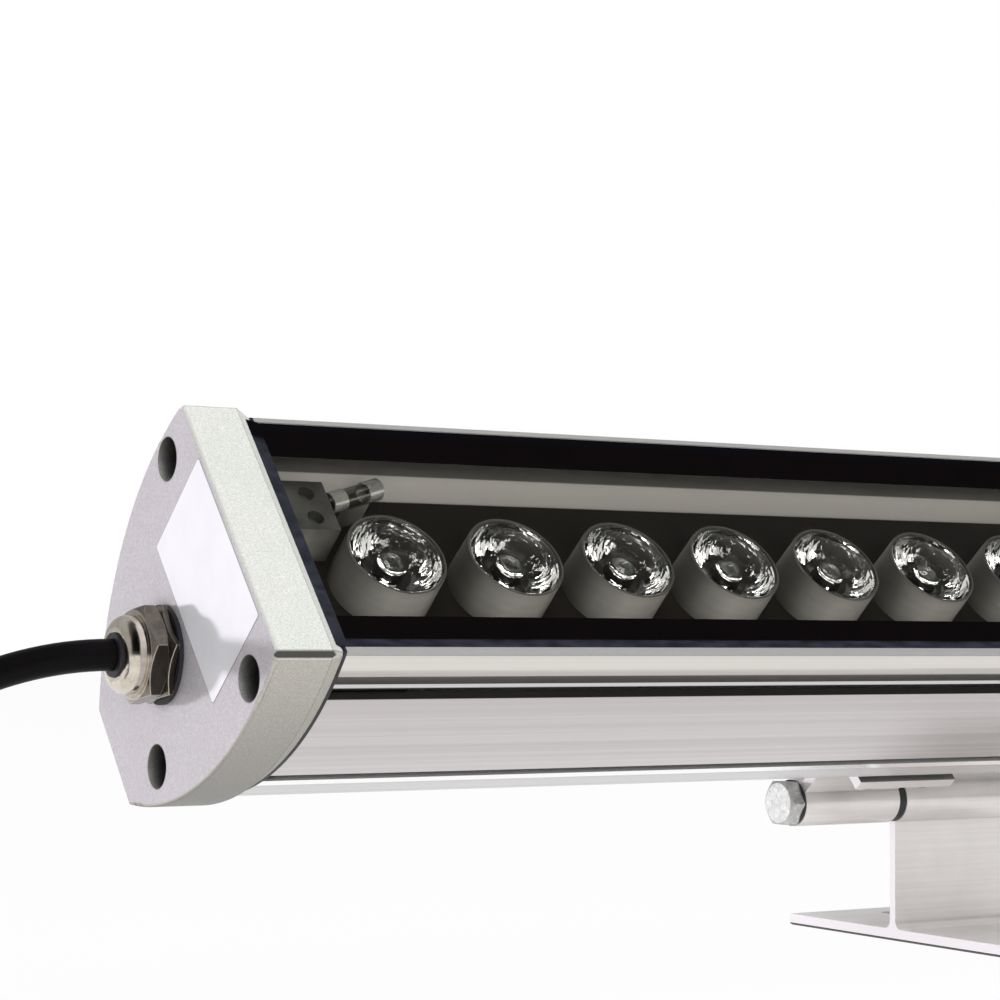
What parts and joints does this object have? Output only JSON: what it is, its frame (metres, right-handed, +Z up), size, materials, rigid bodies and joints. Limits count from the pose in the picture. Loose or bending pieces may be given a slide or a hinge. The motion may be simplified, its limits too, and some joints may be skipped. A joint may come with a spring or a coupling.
{
  "type": "outdoor wall washer light",
  "caption": "Long slim aluminium floodlight with a row of lenses under flat glass, tilting on two hinged feet, with a gland and cable at one end.",
  "frame": {"origin": "floor level, at the middle of the light's box without its cable", "axes": "+X along the light, away from the cable gland; +Z up, away from the floor; -Y the side that the light leans and shines to"},
  "size_m": [1.1951, 0.1372, 0.1161],
  "materials": {
    "foot_aluminium": "extruded, silver anodised",
    "cable_rubber": "smooth black rubber jacket",
    "core_insulation": "coloured core insulation",
    "housing_aluminium": "extruded, satin silver anodised, with fine lengthwise draw lines",
    "cap_aluminium": "cast, fine sandblasted silver",
    "gasket_rubber": "black silicone sheet",
    "stainless_steel": "plain stainless",
    "cover_glass": "clear toughened glass with a black printed edge",
    "sealant": "blue-black sealant, matt",
    "board_dark": "black solder mask on a metal core",
    "led_package": "pale LED package with a clear dome",
    "holder_plastic": "grey moulded plastic",
    "lens_acrylic": "clear moulded acrylic",
    "block_plastic": "translucent white nylon",
    "fuse_glass": "clear glass tube",
    "nickel": "bright nickel plate",
    "lead_insulation": "coloured lead insulation",
    "board_green": "green solder mask",
    "transformer_black": "black ferrite and tape",
    "capacitor_sleeve": "dark shrink sleeve",
    "terminal_green": "green moulded plastic",
    "galvanised_steel": "zinc plated steel",
    "washer_black": "black washer"
  },
  "bodies": {
    "feet": {"foot_left": "foot_aluminium", "foot_right": "foot_aluminium", "power_cable": "cable_rubber", "cable_coil": "cable_rubber", "cable_cores": "core_insulation"},
    "lamp": {"cable_inlet": "cable_rubber", "housing_extrusion": "housing_aluminium", "end_cap_left": "cap_aluminium", "end_cap_right": "cap_aluminium", "end_gasket_left": "gasket_rubber", "end_gasket_right": "gasket_rubber", "cap_screws_left": "stainless_steel", "cap_screws_right": "stainless_steel", "cover_glass": "cover_glass", "glass_sealant": "sealant", "led_board": "board_dark", "board_screws": "stainless_steel", "led_chips": "led_package", "lens_holders": "holder_plastic", "lenses": "lens_acrylic", "terminal_block": "block_plastic", "fuse_tube": "fuse_glass", "fuse_caps": "nickel", "fuse_clip": "block_plastic", "led_leads": "lead_insulation", "driver_board": "board_green", "driver_standoffs": "nickel", "driver_screws": "stainless_steel", "driver_transformer": "transformer_black", "driver_capacitors": "capacitor_sleeve", "driver_choke": "transformer_black", "driver_terminal": "terminal_green", "gland_washer": "gasket_rubber", "gland_body": "nickel", "gland_dome_nut": "nickel", "gland_seal": "gasket_rubber", "bracket_left": "foot_aluminium", "bracket_right": "foot_aluminium", "bracket_screws_left": "stainless_steel", "bracket_screws_right": "stainless_steel", "hinge_bolt_left": "galvanised_steel", "hinge_bolt_right": "galvanised_steel", "hinge_nut_left": "galvanised_steel", "hinge_nut_right": "galvanised_steel", "hinge_washers_left": "washer_black", "hinge_washers_right": "washer_black"}
  },
  "joints": [
    {"name": "tilt", "type": "hinge", "parent": "feet", "child": "lamp", "pos_m": [0.00515, 0.02354, 0.0342], "axis": [1, 0, 0], "range_deg": [-133.7, 36.3]}
  ]
}
